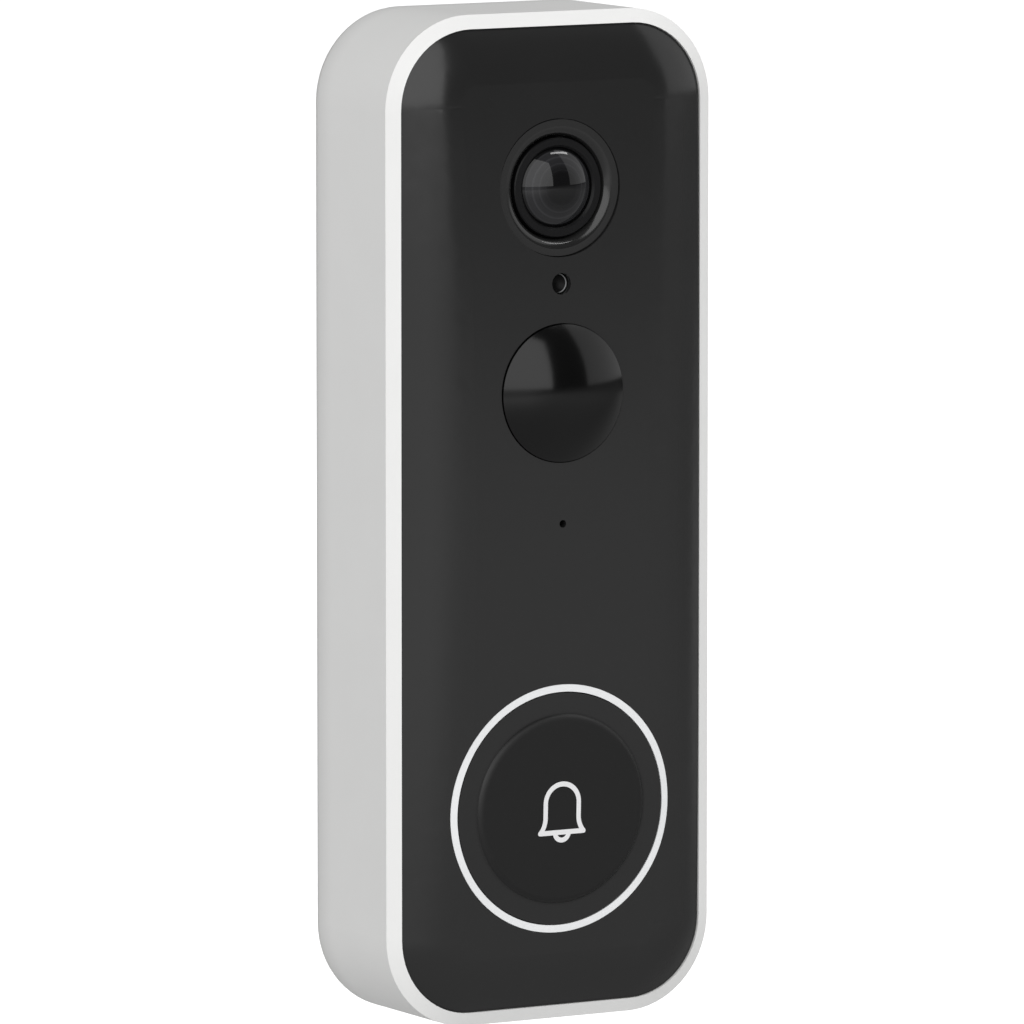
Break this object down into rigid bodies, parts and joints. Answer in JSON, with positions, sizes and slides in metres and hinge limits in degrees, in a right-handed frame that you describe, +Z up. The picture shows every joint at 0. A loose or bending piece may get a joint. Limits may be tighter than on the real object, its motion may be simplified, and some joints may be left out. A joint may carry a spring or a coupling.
{
  "type": "video doorbell",
  "caption": "Tall wall-hung video doorbell: white housing, dark domed front with camera, motion dome and ring-lit push button, on a plate that it swings off.",
  "frame": {"origin": "centre of the wall plate's back face, midway between its two screw holes", "axes": "+Z up, -Y out of the wall towards the visitor, +X to the right seen from the front"},
  "size_m": [0.0536, 0.0306, 0.146],
  "materials": {
    "wall_plate": "moulded matt",
    "latch_spring": "spring steel",
    "rear_housing": "fine satin",
    "hanger_pin": "bright zinc",
    "front_panel": "satin gloss",
    "front_seal": "soft",
    "ring_light": "milky, lets light through",
    "ring_leds": "lamp",
    "light_baffle": "moulded matt",
    "button_cap": "satin gloss",
    "bell_icon": "inlaid",
    "switch_plunger": "moulded matt",
    "button_seal": "soft",
    "switch_body": "moulded chip",
    "camera_bezel": "moulded matt",
    "camera_gasket": "foam",
    "lens_barrel": "black barrel",
    "lens_front": "coated",
    "lens_spacer": "moulded matt",
    "lens_rear": "coated",
    "lens_holder": "moulded matt",
    "camera_board": "solder mask",
    "image_sensor": "moulded chip",
    "camera_ribbon": "film",
    "infrared_leds": "lamp",
    "motion_lens": "dark, lets infrared through",
    "motion_sensor": "bright zinc",
    "motion_filter": "dark filter",
    "sensor_lens": "light pipe",
    "light_sensor": "moulded chip",
    "microphone": "can",
    "mic_boot": "soft",
    "main_board": "solder mask",
    "board_screws": "bright zinc",
    "shield_can": "bright zinc",
    "board_connector": "moulded matt",
    "charge_board": "solder mask",
    "charge_board_screws": "bright zinc",
    "usb_port": "bright zinc",
    "reset_switch": "moulded chip",
    "reset_stem": "moulded matt",
    "terminal_screws": "bright zinc",
    "terminal_plates": "plain",
    "terminal_posts": "plain",
    "battery_pack": "wrapped cell",
    "battery_tape": "tape",
    "battery_plug": "moulded",
    "battery_leads": "wire cover",
    "speaker": "moulded matt",
    "speaker_gasket": "foam",
    "speaker_mesh": "woven",
    "antenna": "film",
    "case_screws": "bright zinc",
    "port_cover": "soft"
  },
  "bodies": {
    "wall_mount": {"wall_plate": "wall_plate", "latch_spring": "latch_spring"},
    "unit": {"rear_housing": "rear_housing", "hanger_pin": "hanger_pin", "front_panel": "front_panel", "front_seal": "front_seal", "ring_light": "ring_light", "ring_leds": "ring_leds", "light_baffle": "light_baffle", "button_seal": "button_seal", "switch_body": "switch_body", "camera_bezel": "camera_bezel", "camera_gasket": "camera_gasket", "lens_barrel": "lens_barrel", "lens_front": "lens_front", "lens_spacer": "lens_spacer", "lens_rear": "lens_rear", "lens_holder": "lens_holder", "camera_board": "camera_board", "image_sensor": "image_sensor", "camera_ribbon": "camera_ribbon", "infrared_leds": "infrared_leds", "motion_lens": "motion_lens", "motion_sensor": "motion_sensor", "motion_filter": "motion_filter", "sensor_lens": "sensor_lens", "light_sensor": "light_sensor", "microphone": "microphone", "mic_boot": "mic_boot", "main_board": "main_board", "board_screws": "board_screws", "shield_can": "shield_can", "board_connector": "board_connector", "charge_board": "charge_board", "charge_board_screws": "charge_board_screws", "usb_port": "usb_port", "reset_switch": "reset_switch", "terminal_screws": "terminal_screws", "terminal_plates": "terminal_plates", "terminal_posts": "terminal_posts", "battery_pack": "battery_pack", "battery_tape": "battery_tape", "battery_plug": "battery_plug", "battery_leads": "battery_leads", "speaker": "speaker", "speaker_gasket": "speaker_gasket", "speaker_mesh": "speaker_mesh", "antenna": "antenna", "case_screws": "case_screws"},
    "button": {"button_cap": "button_cap", "bell_icon": "bell_icon", "switch_plunger": "switch_plunger"},
    "reset": {"reset_stem": "reset_stem"},
    "port_cover": {"port_cover": "port_cover"}
  },
  "joints": [
    {"name": "unit_swing", "type": "hinge", "parent": "wall_mount", "child": "unit", "pos_m": [0, -0.00345, 0.064], "axis": [-1, 0, 0], "range_deg": [0, 10], "deforming": ["latch_spring"]},
    {"name": "button_press", "type": "slide", "parent": "unit", "child": "button", "axis": [0, 1, 0], "range_m": [0, 0.0005], "stiffness_N_per_m": 3000, "deforming": ["button_seal"]},
    {"name": "reset_press", "type": "slide", "parent": "unit", "child": "reset", "axis": [0, -1, 0], "range_m": [0, 0.0004], "stiffness_N_per_m": 1500},
    {"name": "port_cover_hinge", "type": "hinge", "parent": "unit", "child": "port_cover", "pos_m": [-0.0035, -0.0058, -0.0024], "axis": [1, 0, 0], "range_deg": [0, 100]}
  ]
}
